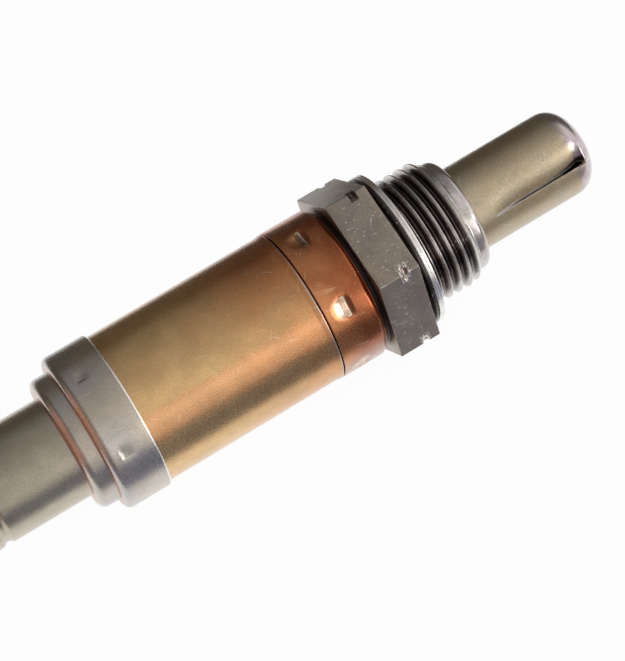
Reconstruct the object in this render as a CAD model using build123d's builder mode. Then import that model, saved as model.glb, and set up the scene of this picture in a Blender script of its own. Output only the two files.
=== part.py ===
from build123d import *
import os
from math import atan2, degrees, sqrt, tan

# Heated finger-type oxygen sensor, lying on its side along X. Millimetres.
# The origin is on the sensor's axis, in the plane of the sealing ring's front
# face, where the thread begins. +X points towards the tip of the probe and +Z
# up. Two of the hexagon's flats are level, so the sensor rests on the lower
# flat and on the tail cap. Names that end in _x are places along the axis, and
# angles about the axis turn from +Y towards +Z.

# ---- driving dimensions: housing -------------------------------------------
thread_diameter = 18.0
thread_length = 6.9
thread_chamfer = 1.1
relief_depth = 1.1
pilot_length = 1.4
pilot_edge_radius = 1.0
hex_across_flats = 22.0
hex_thickness = 5.9
hex_sides = 6
corner_groove_diameter = 24.3
corner_groove_width = 1.1
corner_groove_inset = 1.5
neck_depth = 0.45
neck_length = 1.0
shell_bore_diameter = 14.8
collar_seat_depth = 1.0
lip_thickness = 0.6
lip_overlap = 1.0
lip_wall = 1.0

# ---- driving dimensions: guard and sealing ring -----------------------------
guard_diameter = 12.0
guard_wall = 0.5
guard_reach = 28.6
guard_corner_radius = 3.2
guard_crown_radius = 9.8
slot_count = 3
slot_length = 14.4
slot_tip_inset = 2.3
slot_angle = 136.5
flap_width_angle = 26.0
flap_depth = 1.5
flap_end_gap = 2.0
ring_set_back = 0.05
ring_bore_clearance = 0.15
ring_fold_radius = 0.36
ring_edge_gap = 0.46
ring_foot_width = 0.75

# ---- driving dimensions: sleeves and tail cap -------------------------------
sleeve_wall = 0.5
front_sleeve_length = 6.8
front_sleeve_gap = 0.7
front_edge_radius = 0.35
seam_gap = 0.15
joggle_length = 0.6
tongue_length = 4.0
main_sleeve_show = 26.1
main_sleeve_end_gap = 1.0
mouth_flare = 0.15
mouth_flare_length = 0.8
cap_wall = 0.4
cap_skirt_length = 6.5
cap_shoulder_radius = 1.0
cap_step_drop = 1.7
cap_step_length = 2.75
cap_step_radius = 1.1
tail_drop = 2.25
tail_length = 15.25
crimp_inset = 3.2
crimp_width = 1.8
crimp_flat = 0.6
crimp_depth = 0.45
stake_inset = 1.8
stake_length = 0.85
stake_width = 3.0
stake_depth = 0.35
stake_turn = 1.5
stake_relief = 0.3
spigot_end_gap = 0.35
dimple_inset = 2.95
dimple_length = 1.4
dimple_width = 1.9
dimple_depth = 0.25
dimple_turn = 8.0

# ---- driving dimensions: inner stack ----------------------------------------
washer_thickness = 0.5
washer_bore_gap = 1.0
thimble_tip_gap = 4.5
thimble_wall = 1.0
thimble_taper = 0.7
thimble_collar_length = 3.6
thimble_collar_chamfer = 1.0
thimble_neck_wall = 2.6
thimble_neck_stand_out = 3.1
talc_length = 3.6
bush_length = 2.4
crimp_ring_thickness = 0.6
crimp_ring_bore_gap = 0.6
heater_diameter = 2.9
heater_tip_gap = 2.5
heater_stand_out = 3.6
holder_clearance = 0.3
holder_pocket_depth = 8.6
holder_web_length = 11.0
pocket_clearance = 0.75
well_clearance = 1.5
spring_thickness = 0.5
spring_height = 1.2
spring_clearance = 0.35
spring_seat = 0.6
contact_wall = 0.35
strip_width = 1.2
strip_tail_length = 4.4
lead_circle_radius = 3.6
outer_grip_length = 2.4
inner_grip_length = 6.0
grip_slit_width = 1.6
clip_length = 1.6
clip_inset = 0.6
crimp_barrel_length = 5.6
crimp_barrel_wall = 0.35
crimp_barrel_overlap = 2.6
grommet_inset = 3.25
grommet_stand_out = 0.8
grommet_edge_chamfer = 0.5
lead_bore_diameter = 2.1
lead_count = 4
lead_start_angle = 45.0

# ---- facets that a rounded edge, a fold and a dome are made of --------------------
edge_facets = 3
fold_facets = 4
dome_facets = 5

# ---- clearances ---------------------------------------------------------------
slip_clearance = 0.05
stack_clearance = 0.05
strip_clearance = 0.1
heater_clearance = 0.2

# ---- places along the outside, from the sealing ring back --------------------
ring_thickness = ring_edge_gap + 4 * ring_fold_radius
hex_front_x = -ring_thickness
hex_rear_x = hex_front_x - hex_thickness
neck_rear_x = hex_rear_x - neck_length
sleeve_front_x = hex_rear_x - front_sleeve_gap
seam_x = sleeve_front_x - front_sleeve_length
joggle_x = seam_x + seam_gap
spigot_rear_x = joggle_x + joggle_length + spigot_end_gap
stake_x = spigot_rear_x + stake_inset
cap_rim_x = seam_x - main_sleeve_show
cap_shoulder_x = cap_rim_x - cap_skirt_length
cap_shoulder_inner_x = cap_shoulder_x + cap_wall
cap_step_x = cap_shoulder_x - cap_step_length
dimple_x = cap_shoulder_x + dimple_inset
main_sleeve_end_x = cap_shoulder_inner_x + main_sleeve_end_gap
tail_end_x = cap_step_x - tail_length
crimp_x = tail_end_x + crimp_inset
grommet_front_x = cap_step_x - grommet_inset
grommet_rear_x = tail_end_x - grommet_stand_out

# ---- places along the outside, from the sealing ring forwards ----------------
pilot_rear_x = thread_length + thread_chamfer
housing_front_x = pilot_rear_x + pilot_length
slot_end_x = guard_reach - slot_tip_inset
slot_start_x = slot_end_x - slot_length

# ---- radii of the cap and the sleeves: nothing stands proud of the hexagon's flats ------
cap_radius = hex_across_flats / 2
main_sleeve_radius = cap_radius - cap_wall - slip_clearance
main_sleeve_bore_radius = main_sleeve_radius - sleeve_wall
front_sleeve_radius = main_sleeve_radius + mouth_flare
front_sleeve_bore_radius = front_sleeve_radius - sleeve_wall
tongue_radius = main_sleeve_bore_radius - slip_clearance
tongue_bore_radius = tongue_radius - sleeve_wall
spigot_radius = front_sleeve_bore_radius - slip_clearance
cap_step_outer_radius = cap_radius - cap_step_drop
tail_radius = cap_step_outer_radius - tail_drop
grommet_radius = tail_radius - cap_wall

# ---- radii of the inner stack, from the heater out ------------------------------
heater_radius = heater_diameter / 2
heater_bore_radius = heater_radius + strip_clearance
thimble_bore_radius = heater_radius + heater_clearance + contact_wall
thimble_tip_radius = thimble_bore_radius + thimble_wall
thimble_root_radius = thimble_tip_radius + thimble_taper
thimble_neck_radius = thimble_bore_radius + thimble_neck_wall
shell_bore_radius = shell_bore_diameter / 2
stack_radius = shell_bore_radius - stack_clearance
guard_bore_radius = guard_diameter / 2 + slip_clearance
pocket_radius = thimble_neck_radius + contact_wall + pocket_clearance
holder_radius = tongue_bore_radius - holder_clearance
strip_half_turn = strip_width / 2 + strip_clearance
crimp_barrel_radius = strip_half_turn + crimp_barrel_wall
well_radius = lead_circle_radius + crimp_barrel_radius + well_clearance

# ---- places along the inner stack ---------------------------------------------
seat_x = hex_front_x - collar_seat_depth
washer_x = seat_x - guard_wall
collar_front_x = washer_x - washer_thickness
collar_rear_x = collar_front_x - thimble_collar_length
talc_rear_x = collar_rear_x - talc_length
bush_rear_x = talc_rear_x - bush_length
lip_front_x = bush_rear_x - crimp_ring_thickness
lip_rear_x = lip_front_x - lip_thickness
thimble_tip_x = guard_reach - guard_wall - thimble_tip_gap
thimble_tip_centre_x = thimble_tip_x - thimble_tip_radius
thimble_rear_x = lip_rear_x - thimble_neck_stand_out
holder_front_x = lip_rear_x
holder_rear_x = cap_shoulder_inner_x + spring_height
pocket_rear_x = holder_front_x - holder_pocket_depth
well_front_x = pocket_rear_x - holder_web_length
heater_front_x = thimble_tip_centre_x + thimble_bore_radius - heater_tip_gap
heater_rear_x = well_front_x - heater_stand_out
strip_end_x = heater_rear_x - strip_tail_length

# ---- angles that several pieces share -------------------------------------------
hex_corner_angles = [index * 360 / hex_sides for index in range(hex_sides)]
stake_angles = [angle + stake_turn for angle in hex_corner_angles]
dimple_angles = [angle + dimple_turn for angle in hex_corner_angles]
lead_angles = [lead_start_angle + index * 360 / lead_count for index in range(lead_count)]


def turned(outline):
    """Solid turned about the sensor's axis from a closed outline of (x, radius) points."""
    with BuildPart() as body:
        with BuildSketch(Plane.XY):
            with BuildLine():
                Polyline(*outline, close=True)
            make_face()
        revolve(axis=Axis.X)
    return body.part


def faceted(arc, count=edge_facets):
    """Points along an arc, from its start to its end, that make it a few plain facets."""
    return [arc @ (step / count) for step in range(count + 1)]


def round_edge(middle, radius, start_angle, sweep, count=edge_facets):
    """Points of a rounded edge about its middle point (x, radius)."""
    return faceted(CenterArc(middle, radius, start_angle, sweep, mode=Mode.PRIVATE), count)


def ring(rear_x, front_x, inner_radius, outer_radius):
    """Plain ring between two places along the axis."""
    return turned([
        (rear_x, inner_radius), (rear_x, outer_radius), (front_x, outer_radius), (front_x, inner_radius),
    ])


def bar(rear_x, front_x, inner_radius, outer_radius, width):
    """Flat strip along the axis, level with +Y, from one distance off the axis to another."""
    with BuildPart() as strip:
        with BuildSketch(Plane.YZ.offset(rear_x)):
            with Locations(((inner_radius + outer_radius) / 2, 0)):
                Rectangle(outer_radius - inner_radius, width)
        extrude(amount=front_x - rear_x)
    return strip.part


def pressed_pads(surface_radius, depth, middle_x, length, width, angles):
    """Blocks that reach from outside a sleeve to a flat bottom below its surface, one at each angle."""
    reach = surface_radius + depth
    with BuildPart() as pads:
        with BuildSketch(Plane.YZ.offset(middle_x - length / 2)):
            for angle in angles:
                with PolarLocations(radius=(surface_radius - depth + reach) / 2, count=1, start_angle=angle):
                    Rectangle(reach - surface_radius + depth, width)
        extrude(amount=length)
    return pads.part


def backing_pads(inner_radius, depth, middle_x, length, width, angles):
    """Metal that a press mark pushes in past the inner face of a sleeve, one patch at each angle."""
    pads = pressed_pads(inner_radius, depth, middle_x, length, width, angles)
    with BuildPart() as patches:
        add(pads)
        add(turned([
            (middle_x - length, 0), (middle_x - length, inner_radius + sleeve_wall / 4),
            (middle_x + length, inner_radius + sleeve_wall / 4), (middle_x + length, 0),
        ]), mode=Mode.INTERSECT)
    return patches.part


def save(part, name):
    """Name a finished piece and write it as a file of its own."""
    part.label = name
    export_step(part, f"parts/{name}.step")


def make_hex_housing():
    """Turned steel body: nose, thread, hexagon, neck, staked spigot and rolled rear lip."""
    thread_radius = thread_diameter / 2
    pilot_radius = thread_radius - thread_chamfer
    relief_radius = thread_radius - relief_depth
    neck_radius = spigot_radius - neck_depth
    groove_radius = spigot_radius - stake_depth - stake_relief
    groove_half_width = stake_length / 2 + sleeve_wall + strip_clearance
    groove_front_x = stake_x + groove_half_width
    groove_rear_x = stake_x - groove_half_width
    collar_radius = shell_bore_radius + lip_wall
    nose_edge_x = housing_front_x - pilot_edge_radius
    nose_radius = pilot_radius - pilot_edge_radius
    hex_middle_x = hex_front_x - hex_thickness / 2

    with BuildPart() as housing:
        add(turned([
            (housing_front_x, guard_bore_radius), (seat_x, guard_bore_radius), (seat_x, shell_bore_radius),
            (lip_front_x, shell_bore_radius), (lip_front_x, shell_bore_radius - lip_overlap),
            (lip_rear_x, shell_bore_radius - lip_overlap), (lip_rear_x, collar_radius - lip_thickness / 2),
            (lip_rear_x + lip_thickness / 2, collar_radius), (spigot_rear_x, collar_radius),
            (spigot_rear_x, spigot_radius), (groove_rear_x, spigot_radius), (groove_rear_x, groove_radius),
            (groove_front_x, groove_radius), (groove_front_x, spigot_radius), (neck_rear_x, spigot_radius),
            (neck_rear_x, neck_radius), (hex_middle_x, neck_radius), (hex_middle_x, relief_radius),
            (0, relief_radius), (0, thread_radius), (thread_length, thread_radius),
            (pilot_rear_x, pilot_radius),
            *round_edge((nose_edge_x, nose_radius), pilot_edge_radius, 90, -90),
        ]))
        with BuildSketch(Plane.YZ.offset(hex_front_x)):
            RegularPolygon(radius=hex_across_flats / 2, side_count=hex_sides, major_radius=False)
            Circle(relief_radius, mode=Mode.SUBTRACT)
        extrude(amount=-hex_thickness)
        # A shallow turned groove breaks each corner of the hexagon.
        with BuildSketch(Plane.YZ.offset(hex_front_x - corner_groove_inset)):
            Circle(hex_across_flats)
            Circle(corner_groove_diameter / 2, mode=Mode.SUBTRACT)
        extrude(amount=-corner_groove_width, mode=Mode.SUBTRACT)
    return housing.part


def make_gasket_ring():
    """Folded sealing ring: a flat foot against the hexagon and two rounded folds at the rim."""
    bore_radius = thread_diameter / 2 + ring_bore_clearance
    fold_line = hex_across_flats / 2 - ring_set_back - ring_fold_radius
    rear_fold_x = hex_front_x + ring_edge_gap + ring_fold_radius
    return turned([
        (hex_front_x, bore_radius), (hex_front_x, bore_radius + ring_foot_width),
        *round_edge((rear_fold_x, fold_line), ring_fold_radius, 180, -180, fold_facets),
        *round_edge((-ring_fold_radius, fold_line), ring_fold_radius, 180, -180, fold_facets)[1:],
        (0, bore_radius),
    ])


def guard_form(inset):
    """Solid form of the domed guard, at a depth below its outer face."""
    radius = guard_diameter / 2
    corner_height = radius - guard_corner_radius
    crown_x = guard_reach - guard_crown_radius
    corner_x = crown_x + sqrt((guard_crown_radius - guard_corner_radius) ** 2 - corner_height ** 2)
    turn = degrees(atan2(corner_x - crown_x, corner_height))
    corner = round_edge((corner_x, corner_height), guard_corner_radius - inset, 90, -turn, dome_facets)
    crown = round_edge((crown_x, 0), guard_crown_radius - inset, 90 - turn, turn - 90, edge_facets)
    return turned([(washer_x, 0), (washer_x, radius - inset), *corner, *crown[1:]])


def flap_section(section_x, inset):
    """Cross-section of a flap, bent inwards by the inset at its free edge and fixed at its root."""
    outer = guard_diameter / 2
    inner = outer - guard_wall
    half_turn = flap_width_angle / 2

    def polar(radius, angle):
        point = Vector(radius, 0).rotate(Axis.Z, angle)
        return (point.X, point.Y)

    def bent(radius):
        middle = polar(radius - inset / 4, slot_angle - half_turn)
        root, free = polar(radius, slot_angle - flap_width_angle), polar(radius - inset, slot_angle)
        return faceted(ThreePointArc(root, middle, free, mode=Mode.PRIVATE))

    with BuildSketch(Plane.YZ.offset(section_x)) as section:
        with BuildLine():
            Polyline(*bent(outer), *reversed(bent(inner)), close=True)
        make_face()
    return section.sketch


def make_protection_tube():
    """Drawn guard with a clamped flange and lanced slots whose flaps are pressed in towards the tip."""
    flap_front_x = slot_end_x - flap_end_gap
    slot_turn = 360 / slot_count
    with BuildPart() as window:
        with BuildSketch(Plane.YZ.offset(slot_start_x)):
            with BuildLine():
                edge_a = PolarLine((0, 0), guard_diameter, slot_angle - flap_width_angle)
                edge_b = PolarLine((0, 0), guard_diameter, slot_angle)
                Line(edge_a @ 1, edge_b @ 1)
            make_face()
        extrude(amount=slot_length)
    with BuildPart() as flap:
        add(flap_section(slot_start_x, 0).faces()[0])
        add(flap_section(flap_front_x, flap_depth).faces()[0])
        loft(ruled=True)
    with BuildPart() as guard:
        add(guard_form(0))
        add(ring(washer_x, seat_x, guard_diameter / 2 - guard_wall, stack_radius))
        add(guard_form(guard_wall), mode=Mode.SUBTRACT)
        for index in range(slot_count):
            add(window.part.rotate(Axis.X, index * slot_turn), mode=Mode.SUBTRACT)
        for index in range(slot_count):
            add(flap.part.rotate(Axis.X, index * slot_turn))
    return guard.part


def make_front_sleeve():
    """Copper-toned sleeve: rounded front edge, six stakes, and a joggled tongue behind the seam."""
    outer = front_sleeve_radius
    inner = front_sleeve_bore_radius
    tongue_end_x = seam_x - tongue_length
    edge_x = sleeve_front_x - front_edge_radius
    edge_radius = outer - front_edge_radius
    pockets = pressed_pads(outer, stake_depth, stake_x, stake_length, stake_width, stake_angles)
    backs = backing_pads(
        inner, stake_depth, stake_x,
        stake_length + 2 * sleeve_wall, stake_width + 2 * sleeve_wall, stake_angles,
    )
    with BuildPart() as sleeve:
        add(turned([
            (sleeve_front_x, inner), (joggle_x + joggle_length, inner),
            (joggle_x - sleeve_wall / 2, tongue_bore_radius), (tongue_end_x, tongue_bore_radius),
            (tongue_end_x, tongue_radius), (joggle_x, tongue_radius), (joggle_x, outer - sleeve_wall / 2),
            (joggle_x + sleeve_wall / 2, outer),
            *round_edge((edge_x, edge_radius), front_edge_radius, 90, -90),
        ]))
        add(backs)
        add(pockets, mode=Mode.SUBTRACT)
    return sleeve.part


def make_main_sleeve():
    """Long jacket with a slightly belled mouth at the seam and dimples under those of the cap."""
    outer = main_sleeve_radius
    inner = main_sleeve_bore_radius
    flare_x = seam_x - mouth_flare_length
    mark_length = dimple_length + 2 * cap_wall + 2 * slip_clearance
    mark_width = dimple_width + 2 * cap_wall + 2 * slip_clearance
    mark_depth = dimple_depth + slip_clearance
    pockets = pressed_pads(outer, mark_depth, dimple_x, mark_length, mark_width, dimple_angles)
    backs = backing_pads(
        inner, mark_depth, dimple_x, mark_length + sleeve_wall, mark_width + 2 * sleeve_wall, dimple_angles
    )
    with BuildPart() as jacket:
        add(turned([
            (main_sleeve_end_x, inner), (main_sleeve_end_x, outer), (flare_x, outer),
            (seam_x, front_sleeve_radius), (seam_x, front_sleeve_bore_radius), (flare_x, inner),
        ]))
        add(backs)
        add(pockets, mode=Mode.SUBTRACT)
    return jacket.part


def crimp_groove(inset):
    """Points of the groove rolled round the tail tube, front to rear, at a depth below its outer face."""
    flank = atan2(crimp_depth, (crimp_width - crimp_flat) / 2)
    spread = inset * tan(flank / 2)
    edge, floor = crimp_width / 2 + spread, crimp_flat / 2 + spread
    return [
        (crimp_x + edge, tail_radius - inset), (crimp_x + floor, tail_radius - inset - crimp_depth),
        (crimp_x - floor, tail_radius - inset - crimp_depth), (crimp_x - edge, tail_radius - inset),
    ]


def make_tail_cap():
    """Stepped drawn cap: rim, two rounded shoulders, tail tube with a rolled groove, six dimples."""
    shoulder_middle = (cap_shoulder_x + cap_shoulder_radius, cap_radius - cap_shoulder_radius)
    step_middle = (cap_step_x + cap_step_radius, cap_step_outer_radius - cap_step_radius)
    pockets = pressed_pads(cap_radius, dimple_depth, dimple_x, dimple_length, dimple_width, dimple_angles)
    backs = backing_pads(
        cap_radius - cap_wall, dimple_depth, dimple_x,
        dimple_length + 2 * cap_wall, dimple_width + 2 * cap_wall, dimple_angles,
    )
    with BuildPart() as cap:
        with BuildSketch(Plane.XY):
            with BuildLine():
                Polyline(
                    (cap_rim_x, cap_radius), *round_edge(shoulder_middle, cap_shoulder_radius, 90, 90),
                    (cap_shoulder_x, cap_step_outer_radius),
                    *round_edge(step_middle, cap_step_radius, 90, 90),
                    (cap_step_x, tail_radius), *crimp_groove(0), (tail_end_x, tail_radius),
                )
                offset(amount=cap_wall, side=Side.LEFT, kind=Kind.INTERSECTION)
            make_face()
        revolve(axis=Axis.X)
        add(backs)
        add(pockets, mode=Mode.SUBTRACT)
    return cap.part


def make_sensor_thimble():
    """Closed ceramic finger: round tip, tapered shaft, collar with a sloping rear, open rear neck."""
    bore = thimble_bore_radius
    neck = thimble_neck_radius
    centre = (thimble_tip_centre_x, 0)
    return turned([
        *round_edge(centre, bore, 0, 90), (thimble_rear_x, bore), (thimble_rear_x, neck),
        (collar_rear_x, neck), (collar_rear_x, stack_radius - thimble_collar_chamfer),
        (collar_rear_x + thimble_collar_chamfer, stack_radius), (collar_front_x, stack_radius),
        (collar_front_x, thimble_root_radius),
        *round_edge(centre, thimble_tip_radius, 90, -90, dome_facets),
    ])


def make_ceramic_holder():
    """Ceramic tube: pocket for the thimble's neck, a web with the heater and strip bores, a rear well."""
    with BuildPart() as holder:
        add(turned([
            (holder_rear_x, well_radius), (holder_rear_x, holder_radius), (holder_front_x, holder_radius),
            (holder_front_x, pocket_radius), (pocket_rear_x, pocket_radius),
            (pocket_rear_x, heater_bore_radius), (well_front_x, heater_bore_radius),
            (well_front_x, well_radius),
        ]))
        with BuildSketch(Plane.YZ.offset(well_front_x)):
            for angle in (lead_angles[0], lead_angles[2]):
                with PolarLocations(radius=lead_circle_radius, count=1, start_angle=angle):
                    Circle(strip_half_turn)
        extrude(amount=holder_web_length, mode=Mode.SUBTRACT)
    return holder.part


def lead_strip(front_x):
    """Terminal strip on the lead circle, level with +Y, running back to its crimp barrel."""
    return bar(
        strip_end_x, front_x, lead_circle_radius - contact_wall / 2, lead_circle_radius + contact_wall / 2,
        strip_width,
    )


def make_outer_contact():
    """Slit spring sleeve on the thimble's rear neck, with an arm in to its terminal strip."""
    grip_radius = thimble_neck_radius
    grip_front_x = thimble_rear_x + outer_grip_length
    arm_rear_x = thimble_rear_x - contact_wall
    outer = grip_radius + contact_wall
    with BuildPart() as contact:
        add(ring(thimble_rear_x, grip_front_x, grip_radius, outer))
        add(bar(thimble_rear_x, grip_front_x, -outer - slip_clearance, -grip_radius / 2, grip_slit_width),
            mode=Mode.SUBTRACT)
        add(bar(arm_rear_x, thimble_rear_x, lead_circle_radius - contact_wall / 2, outer, strip_width))
        add(lead_strip(arm_rear_x))
    return contact.part.rotate(Axis.X, lead_angles[2])


def make_inner_contact():
    """Slit spring sleeve in the thimble's bore, with an arm out to its terminal strip."""
    outer = thimble_bore_radius
    inner = outer - contact_wall
    arm_rear_x = thimble_rear_x - contact_wall
    arm_outer = lead_circle_radius + contact_wall / 2
    with BuildPart() as contact:
        add(ring(arm_rear_x, thimble_rear_x + inner_grip_length, inner, outer))
        add(bar(arm_rear_x, thimble_rear_x + inner_grip_length, -outer - slip_clearance, 0, grip_slit_width),
            mode=Mode.SUBTRACT)
        add(bar(arm_rear_x, thimble_rear_x, outer - contact_wall / 2, arm_outer, strip_width))
        add(lead_strip(arm_rear_x))
    return contact.part.rotate(Axis.X, lead_angles[0])


def make_heater_contact(angle):
    """Curved clip on one side of the heater rod, with an arm out to its terminal strip."""
    inner = heater_radius
    outer = inner + contact_wall
    clip_rear_x = heater_rear_x + clip_inset
    clip_front_x = clip_rear_x + clip_length
    with BuildPart() as clip:
        add(ring(clip_rear_x, clip_front_x, inner, outer))
        add(bar(clip_rear_x, clip_front_x, -2 * outer, inner / 2, 4 * outer), mode=Mode.SUBTRACT)
        add(bar(clip_rear_x, clip_front_x, outer - contact_wall / 2,
                lead_circle_radius + contact_wall / 2, contact_wall))
        add(lead_strip(clip_front_x))
    return clip.part.rotate(Axis.X, angle)


def make_lead_crimp(angle):
    """Crimp barrel round the end of a terminal strip, open to the rear for its lead."""
    front_x = strip_end_x + crimp_barrel_overlap
    with BuildPart() as barrel:
        with BuildSketch(Plane.YZ.offset(front_x - crimp_barrel_length)):
            with PolarLocations(radius=lead_circle_radius, count=1, start_angle=angle):
                Circle(crimp_barrel_radius)
                Circle(strip_half_turn, mode=Mode.SUBTRACT)
        extrude(amount=crimp_barrel_length)
    return barrel.part


def make_disc_spring():
    """Cone washer: its wide edge bears on the cap's shoulder and its narrow edge on the holder."""
    outer = main_sleeve_bore_radius - spring_clearance
    inner = well_radius + spring_seat
    return turned([
        (cap_shoulder_inner_x, outer), (cap_shoulder_inner_x + spring_thickness, outer),
        (holder_rear_x, inner), (holder_rear_x - spring_thickness, inner),
    ])


def make_grommet():
    """Soft plug in the tail tube, waisted by the rolled groove, with a bore for each lead."""
    edge = grommet_edge_chamfer
    with BuildPart() as plug:
        add(turned([
            (grommet_front_x, 0), (grommet_front_x, grommet_radius - edge),
            (grommet_front_x - edge, grommet_radius), *crimp_groove(cap_wall),
            (grommet_rear_x + edge, grommet_radius), (grommet_rear_x, grommet_radius - edge),
            (grommet_rear_x, 0),
        ]))
        with BuildSketch(Plane.YZ.offset(grommet_front_x)):
            with PolarLocations(radius=lead_circle_radius, count=lead_count, start_angle=lead_start_angle):
                Circle(lead_bore_diameter / 2)
        extrude(amount=grommet_rear_x - grommet_front_x, mode=Mode.SUBTRACT)
    return plug.part


os.makedirs("parts", exist_ok=True)

save(make_hex_housing(), "hex_housing")
save(make_gasket_ring(), "gasket_ring")
save(make_protection_tube(), "protection_tube")
save(make_front_sleeve(), "front_sleeve")
save(make_main_sleeve(), "main_sleeve")
save(make_tail_cap(), "tail_cap")
save(make_grommet(), "grommet")

save(make_sensor_thimble(), "sensor_thimble")
save(ring(collar_front_x, washer_x, thimble_root_radius + washer_bore_gap, stack_radius), "seal_washer")
save(ring(talc_rear_x, collar_rear_x, thimble_neck_radius, shell_bore_radius), "talc_pack")
save(ring(bush_rear_x, talc_rear_x, thimble_neck_radius + stack_clearance, stack_radius), "insulating_bush")
save(ring(lip_front_x, bush_rear_x, thimble_neck_radius + crimp_ring_bore_gap, stack_radius), "crimp_ring")
save(ring(heater_rear_x, heater_front_x, 0, heater_radius), "heater_rod")
save(make_ceramic_holder(), "ceramic_holder")
save(make_outer_contact(), "outer_contact")
save(make_inner_contact(), "inner_contact")
save(make_heater_contact(lead_angles[1]), "heater_contact_left")
save(make_heater_contact(lead_angles[3]), "heater_contact_right")
for number, angle in enumerate(lead_angles, start=1):
    save(make_lead_crimp(angle), f"lead_crimp_{number}")
save(make_disc_spring(), "disc_spring")
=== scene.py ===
"""Dresses the exhaust oxygen sensor: turned, drawn and staked metal round the ceramic stack.

Everything is laid out along the sensor's own axis: +X runs to the closed tip, +Z is up. Sizes in this
file are millimetres unless a name says otherwise, and angles round the axis run from +Y towards +Z.
"""

import math

import bmesh
import bpy
from mathutils import Matrix, Vector


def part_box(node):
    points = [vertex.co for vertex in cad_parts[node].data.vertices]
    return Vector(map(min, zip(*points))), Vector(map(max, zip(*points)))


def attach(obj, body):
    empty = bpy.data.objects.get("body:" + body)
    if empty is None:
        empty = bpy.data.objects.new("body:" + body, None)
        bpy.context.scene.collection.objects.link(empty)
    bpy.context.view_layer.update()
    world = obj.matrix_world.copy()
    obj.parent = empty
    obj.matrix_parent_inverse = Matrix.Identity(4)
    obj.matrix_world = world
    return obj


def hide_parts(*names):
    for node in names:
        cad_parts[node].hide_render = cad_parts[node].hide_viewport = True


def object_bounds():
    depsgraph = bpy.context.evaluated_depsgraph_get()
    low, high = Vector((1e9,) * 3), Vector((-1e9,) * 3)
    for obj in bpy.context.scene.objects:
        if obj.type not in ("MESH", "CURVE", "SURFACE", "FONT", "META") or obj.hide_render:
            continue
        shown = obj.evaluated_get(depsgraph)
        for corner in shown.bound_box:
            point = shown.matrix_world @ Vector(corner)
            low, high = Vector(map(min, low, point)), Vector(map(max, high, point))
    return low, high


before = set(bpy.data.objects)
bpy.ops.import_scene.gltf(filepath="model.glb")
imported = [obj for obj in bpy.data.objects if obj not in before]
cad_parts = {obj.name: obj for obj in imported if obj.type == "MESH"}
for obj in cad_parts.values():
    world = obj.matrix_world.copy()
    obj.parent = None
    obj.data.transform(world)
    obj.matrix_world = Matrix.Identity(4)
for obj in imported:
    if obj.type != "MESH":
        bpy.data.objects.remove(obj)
cad_low, cad_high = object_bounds()

MM = 0.001


# ---- places read from the frame ----
def along(node):
    """Rear and front end of a node, along the axis."""
    low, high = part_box(node)
    return low.x / MM, high.x / MM


def reach(node):
    """Largest radius of a round node."""
    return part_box(node)[1].y / MM


floor_height = cad_low.z / MM
hex_half_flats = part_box("hex_housing")[1].z / MM
ring_rear_x, ring_front_x = along("gasket_ring")
ring_radius = reach("gasket_ring")
spigot_rear_x, nose_x = along("hex_housing")
front_sleeve_rear_x, front_sleeve_x = along("front_sleeve")
main_sleeve_rear_x, seam_x = along("main_sleeve")
front_sleeve_radius = reach("front_sleeve")
cap_rear_x, cap_rim_x = along("tail_cap")
cap_radius = reach("tail_cap")
guard_rear_x, guard_tip_x = along("protection_tube")


# ---- the camera ----
def placed(name, data):
    """A new object in the scene."""
    piece = bpy.data.objects.new(name, data)
    bpy.context.collection.objects.link(piece)
    return piece


camera_place = Vector((-70.678, -77.676, 281.827))
camera_right = Vector((0.843645, -0.536379, 0.023669))
camera_down = Vector((-0.503839, -0.806156, -0.310255))
camera_forward = Vector((0.185494, 0.249820, -0.950359))
focal_pixels = 2298.98
picture_height = 661
sensor_width = 36.0

camera_data = bpy.data.cameras.new("sensor_camera")
camera = placed("sensor_camera", camera_data)
turn = Matrix((camera_right, -camera_down, -camera_forward)).transposed()
camera.matrix_world = Matrix.Translation(camera_place * MM) @ turn.to_4x4()
camera_data.sensor_width = sensor_width
camera_data.lens = focal_pixels * sensor_width / picture_height
camera_data.clip_start = 0.01
camera_data.clip_end = 20
bpy.context.scene.camera = camera
bpy.context.scene.view_settings.view_transform = "Standard"


# ---- making meshes ----
def graded(*stops):
    """Values from the first stop to the last; each stop is (value, spacing up to the next stop)."""
    values = [stops[0][0]]
    for (start, spacing), (end, _) in zip(stops, stops[1:]):
        count = max(1, round(abs(end - start) / spacing))
        values += [start + (end - start) * step / count for step in range(1, count + 1)]
    return values


def rounded(corners, steps=6):
    """A closed outline through corners (x, radius, fillet), each fillet turned into an arc."""
    outline = []
    for index, (x, radius, fillet) in enumerate(corners):
        corner = Vector((x, radius))
        before = Vector(corners[index - 1][:2]) - corner
        after = Vector(corners[(index + 1) % len(corners)][:2]) - corner
        if not fillet:
            outline.append((x, radius))
            continue
        before.normalize()
        after.normalize()
        half = before.angle(after) / 2
        middle = corner + (before + after).normalized() * (fillet / math.sin(half))
        start = corner + before * (fillet / math.tan(half)) - middle
        sweep = start.angle_signed(corner + after * (fillet / math.tan(half)) - middle)
        for step in range(steps + 1):
            spoke = start.copy()
            spoke.rotate(Matrix.Rotation(-sweep * step / steps, 2))
            outline.append(tuple(middle + spoke))
    return outline


def with_rows(outline, rows, above=0.0):
    """The closed outline with a point added wherever a side above the radius crosses a row along x."""
    points = []
    for (x0, r0), (x1, r1) in zip(outline, outline[1:] + outline[:1]):
        points.append((x0, r0))
        between = sorted((row for row in rows
                          if min(r0, r1) > above and min(x0, x1) + 1e-4 < row < max(x0, x1) - 1e-4),
                         reverse=x1 < x0)
        points += [(row, r0 + (r1 - r0) * (row - x0) / (x1 - x0)) for row in between]
    return points


def new_mesh(name, vertices, faces):
    mesh = bpy.data.meshes.new(name)
    mesh.from_pydata(vertices, [], faces)
    return mesh


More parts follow.
